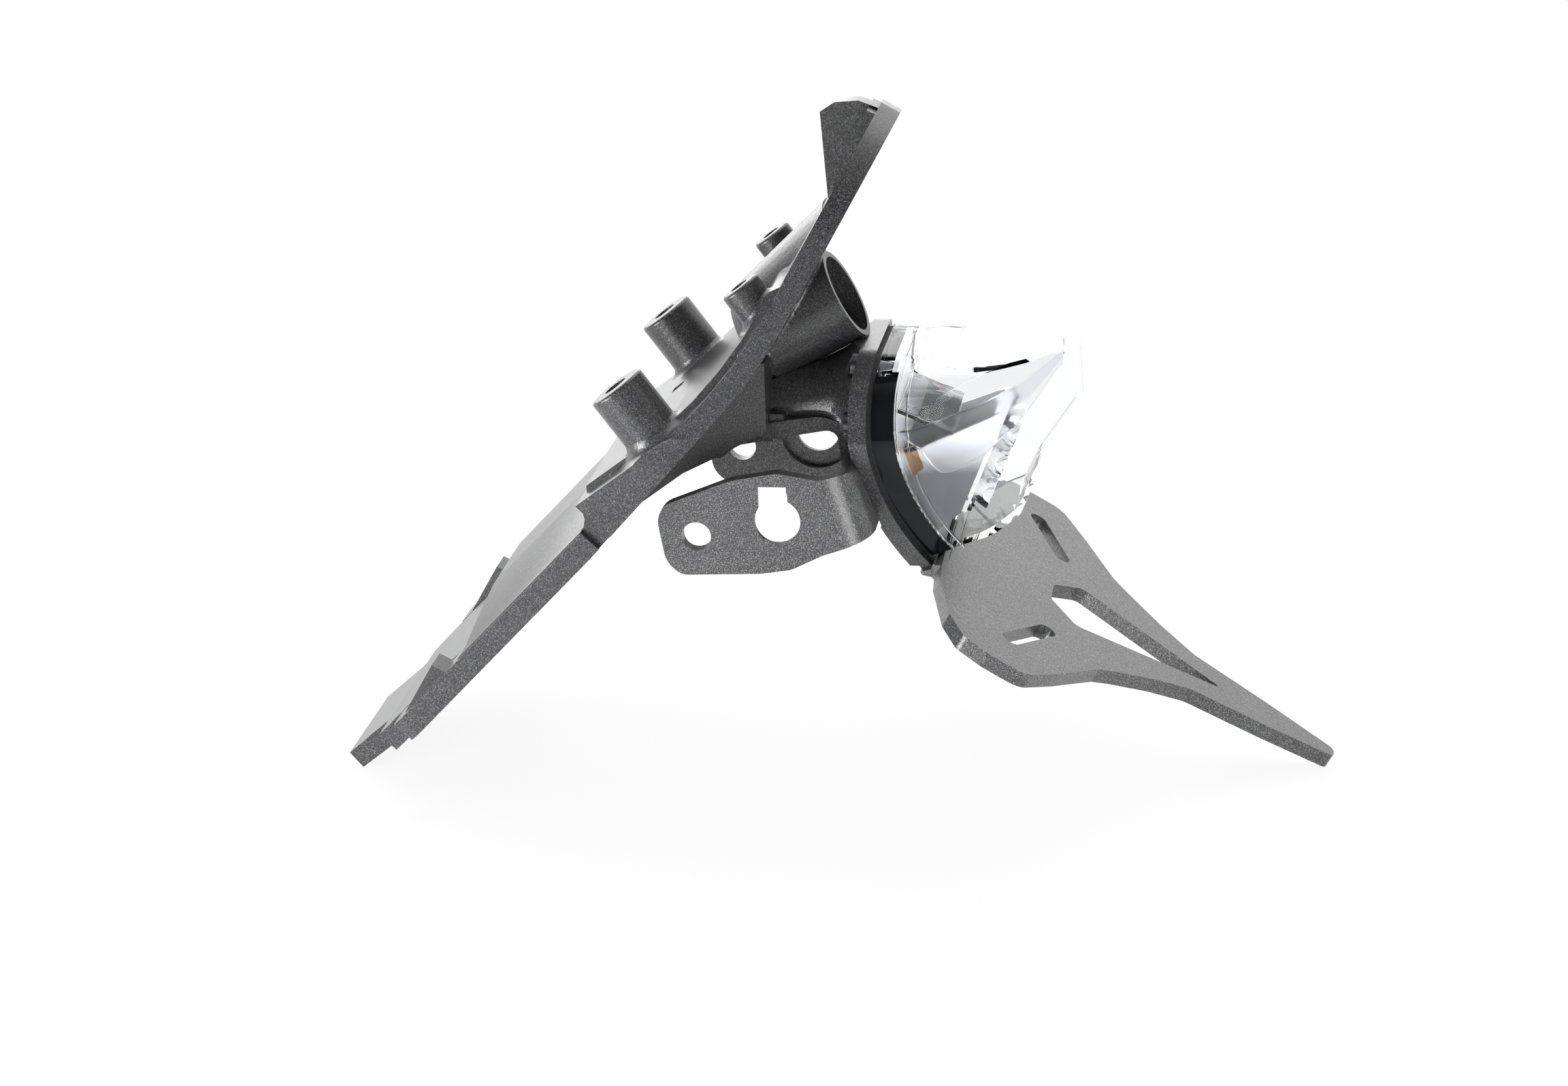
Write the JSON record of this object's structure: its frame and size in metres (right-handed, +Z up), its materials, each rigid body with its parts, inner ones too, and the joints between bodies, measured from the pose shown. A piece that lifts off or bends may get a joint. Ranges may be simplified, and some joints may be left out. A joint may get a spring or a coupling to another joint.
{
  "type": "motorbike tail tidy",
  "caption": "Under-tail bracket for a motorbike, with a clear tail lamp, arms for indicators and a slotted number plate hanger.",
  "frame": {"origin": "centre of the part's box at ground level, between the tongue of the main bracket and the tip of the hanger", "axes": "+X to the rear of the motorbike, +Z up, Y = 0 the mid plane"},
  "size_m": [0.3491, 0.168, 0.2379],
  "materials": {
    "black_coat": "satin",
    "steel": "satin",
    "rubber": "matte",
    "gloss_black": "gloss",
    "board": "satin",
    "emitter": "gloss",
    "mirror_silver": "mirror",
    "silver_plastic": "gloss",
    "clear": "gloss",
    "bronze_clear": "gloss"
  },
  "bodies": {
    "root": {"main_bracket": "black_coat", "lamp_bracket": "black_coat", "joint_bolts": "steel", "joint_washers": "steel", "indicator_bracket": "black_coat", "plate_hanger": "black_coat", "clamp_bolts": "steel", "clamp_washers": "steel", "tab_screws": "steel", "lamp_gasket": "rubber", "lamp_housing": "gloss_black", "lamp_screws": "steel", "cable_grommet": "rubber", "led_board": "board", "board_screws": "steel", "tail_leds": "emitter", "plate_leds": "emitter", "reflector_bowls": "mirror_silver", "lamp_bezel": "silver_plastic", "light_guide_left": "clear", "light_guide_right": "clear", "prism_panel": "clear", "side_window_left": "bronze_clear", "side_window_right": "bronze_clear", "lamp_lens": "clear"}
  },
  "joints": []
}
